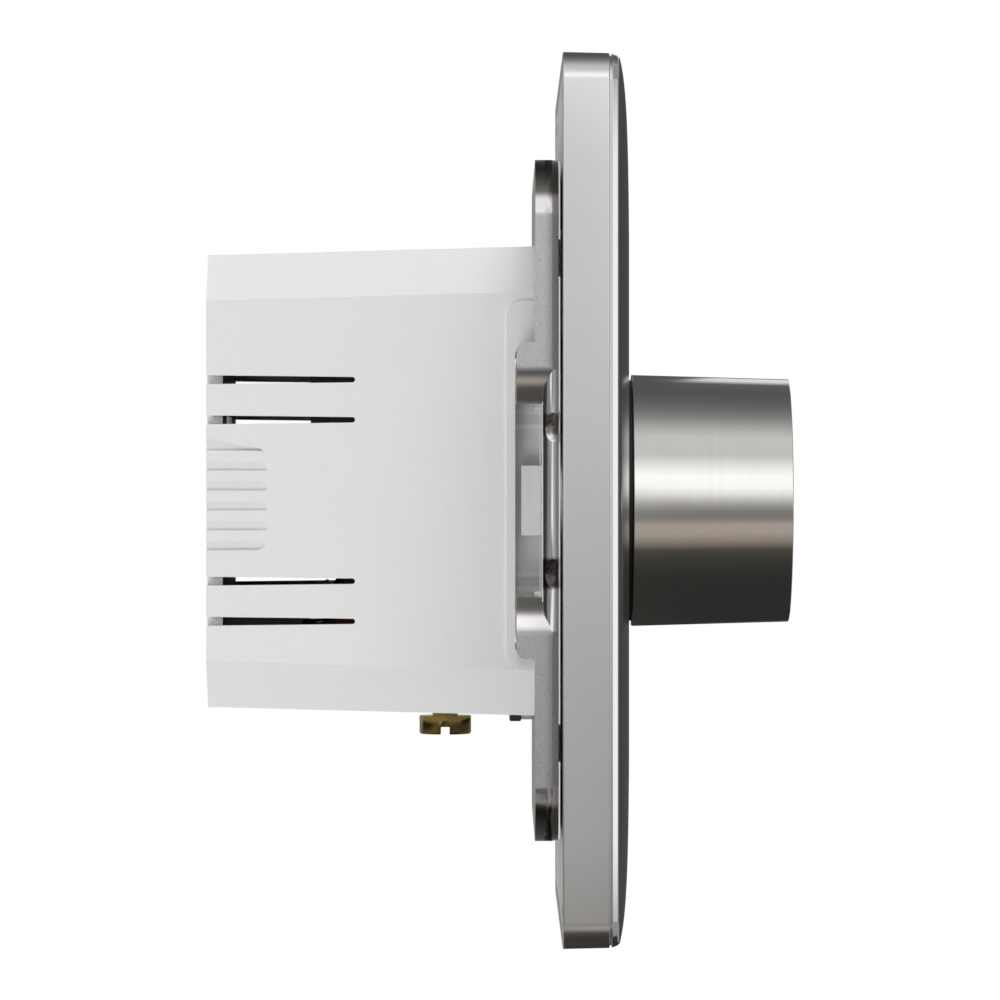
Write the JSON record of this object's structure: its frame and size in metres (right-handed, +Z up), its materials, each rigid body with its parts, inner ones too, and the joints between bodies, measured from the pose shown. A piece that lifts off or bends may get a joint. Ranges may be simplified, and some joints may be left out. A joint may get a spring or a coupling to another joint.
{
  "type": "rotary fan regulator",
  "caption": "Square wall plate with a dark domed face and a round turned knob, on a cast yoke with a chamfered white rear housing.",
  "frame": {"origin": "on the knob axis, in the plane of the wall that the plate closes against", "axes": "+Z up, the knob and plate face -Y, +Y goes into the wall box, +X to the right seen from the front"},
  "size_m": [0.086, 0.059, 0.086],
  "materials": {
    "satin_frame": "satin, fine grain",
    "bright_trim": "polished bevel",
    "dark_panel": "dark grey, soft gloss",
    "grey_moulding": "light grey, matt",
    "white_moulding": "white, fine matt",
    "die_casting": "granular as cast, polished ear edges",
    "clear_moulding": "clear",
    "black_moulding": "black, matt",
    "satin_knob": "satin, turned",
    "mark_fill": "white fill",
    "steel": "plated",
    "brass": "turned",
    "phenolic": "brown wafer",
    "board": "green laminate",
    "capacitor_case": "dark moulded case",
    "ferrite": "matt ferrite",
    "copper_wire": "enamelled copper",
    "device_body": "black moulded body",
    "sink": "folded sheet",
    "fuse_glass": "clear tube",
    "resistor_body": "coated"
  },
  "bodies": {
    "regulator": {"side_frame": "satin_frame", "trim_ring": "bright_trim", "front_panel": "dark_panel", "plate_back": "grey_moulding", "clip_carrier": "white_moulding", "housing": "white_moulding", "rear_lid": "white_moulding", "yoke": "die_casting", "clear_insulator": "clear_moulding", "latch_block": "black_moulding", "terminal_block": "black_moulding", "housing_screws": "steel", "latch_tongue": "steel", "bushing_washer": "steel", "pot_can": "steel", "triac_screw": "steel", "fuse_caps": "steel", "earth_screw": "brass", "earth_terminal": "brass", "bushing": "brass", "bushing_nut": "brass", "terminal_clamps": "brass", "terminal_screws": "brass", "pot_track": "phenolic", "switch_body": "phenolic", "circuit_board": "board", "film_capacitor": "capacitor_case", "timing_capacitor": "capacitor_case", "choke_core": "ferrite", "choke_winding": "copper_wire", "triac": "device_body", "heat_sink": "sink", "fuse_tube": "fuse_glass", "diac": "fuse_glass", "resistors": "resistor_body"},
    "knob": {"knob_shell": "satin_knob", "pointer_mark": "mark_fill", "knob_hub": "black_moulding", "knob_skirt": "black_moulding", "knob_spring": "steel", "shaft": "steel", "rotor": "black_moulding", "wiper": "brass"}
  },
  "joints": [
    {"name": "knob_turn", "type": "hinge", "parent": "regulator", "child": "knob", "pos_m": [0, -0.0155, 0], "axis": [0, 1, 0], "range_deg": [0, 300]}
  ]
}
